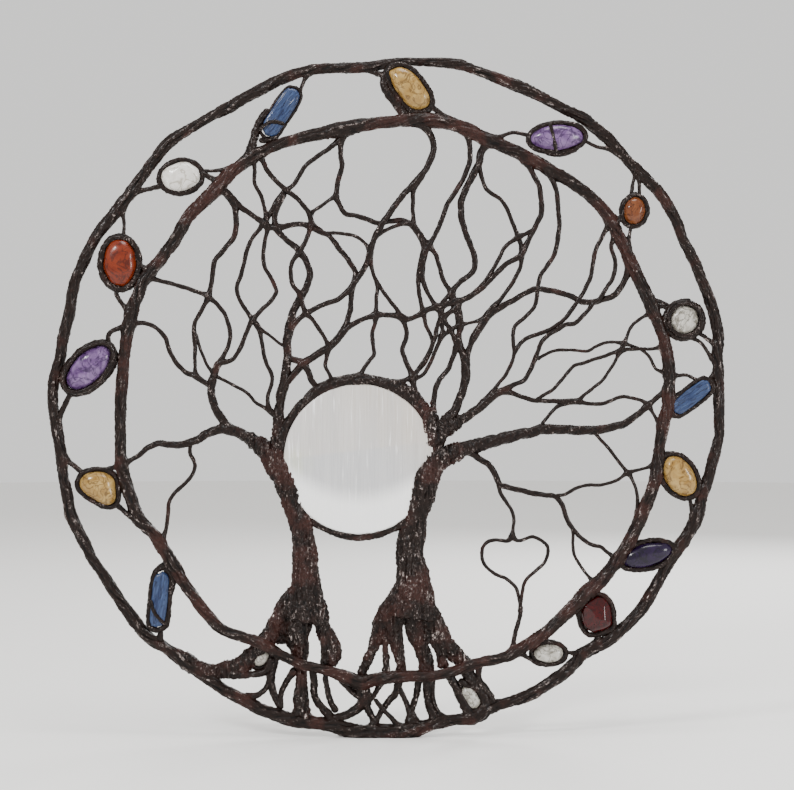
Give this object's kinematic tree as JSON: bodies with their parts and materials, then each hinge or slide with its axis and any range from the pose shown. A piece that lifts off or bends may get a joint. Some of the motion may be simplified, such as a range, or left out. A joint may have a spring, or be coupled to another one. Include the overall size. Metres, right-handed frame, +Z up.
{
  "type": "clay tree of life",
  "caption": "Upright wire-and-clay tree of life in two hoops, with open roots, a twisted wire canopy, a round selenite moon and tumbled stones in wire settings.",
  "frame": {"origin": "middle of the bounding box's bottom, on the flat foot of the outer hoop", "axes": "+Z up, +X to the viewer's right, the front faces -Y"},
  "size_m": [0.3388, 0.02, 0.3398],
  "materials": {
    "wire_clay": "black-brown clay over wire, satin with silver rubbed on the high spots",
    "hoop_clay": "dark grey-brown clay over twisted wire, satin",
    "trunk_clay": "red-brown clay over dark clay, bark texture, silver rubbed on the ridges",
    "selenite": "translucent, fine upright striations, satin",
    "citrine": "tumbled, translucent, polished",
    "amethyst": "tumbled, cloudy lilac, polished",
    "dark_amethyst": "tumbled, deep violet, polished",
    "carnelian": "tumbled, orange-red, polished",
    "quartz": "tumbled, cloudy clear, polished",
    "kyanite": "bladed, streaked blue, pearly",
    "garnet": "tumbled, deep red, glossy",
    "jasper": "tumbled, opaque red-brown, polished",
    "moonstone": "tumbled, milky, glossy"
  },
  "bodies": {
    "root": {"outer_hoop": "hoop_clay", "inner_hoop": "trunk_clay", "left_trunk": "trunk_clay", "right_trunk": "trunk_clay", "left_roots": "trunk_clay", "right_roots": "trunk_clay", "root_strands": "wire_clay", "moon_ring": "wire_clay", "selenite_disc": "selenite", "heart": "wire_clay", "left_low_limb": "wire_clay", "left_bough": "wire_clay", "left_outer_twigs": "wire_clay", "left_leader": "wire_clay", "crown_left_twigs": "wire_clay", "crossing_twigs": "wire_clay", "crown_centre_twigs": "wire_clay", "moon_twigs": "wire_clay", "arch_bough": "wire_clay", "inner_right_twigs": "wire_clay", "crown_right_twigs": "wire_clay", "far_right_twigs": "wire_clay", "right_low_limb": "wire_clay", "right_leader": "wire_clay", "right_mid_limb": "wire_clay", "right_drooping_limb": "wire_clay", "citrine_top": "citrine", "amethyst_cluster": "amethyst", "carnelian": "carnelian", "quartz_right": "quartz", "kyanite_right": "kyanite", "citrine_right": "citrine", "amethyst_dark": "dark_amethyst", "garnet": "garnet", "quartz_low": "quartz", "root_quartz_right": "quartz", "root_quartz_left": "quartz", "kyanite_low_left": "kyanite", "citrine_left": "citrine", "amethyst_light": "amethyst", "red_jasper": "jasper", "moonstone": "moonstone", "kyanite_top_left": "kyanite", "citrine_top_setting": "wire_clay", "amethyst_cluster_setting": "wire_clay", "carnelian_setting": "wire_clay", "quartz_right_setting": "wire_clay", "kyanite_right_setting": "wire_clay", "citrine_right_setting": "wire_clay", "amethyst_dark_setting": "wire_clay", "garnet_setting": "wire_clay", "quartz_low_setting": "wire_clay", "root_quartz_right_setting": "wire_clay", "root_quartz_left_setting": "wire_clay", "kyanite_low_left_setting": "wire_clay", "citrine_left_setting": "wire_clay", "amethyst_light_setting": "wire_clay", "red_jasper_setting": "wire_clay", "moonstone_setting": "wire_clay", "kyanite_top_left_setting": "wire_clay"}
  },
  "joints": []
}
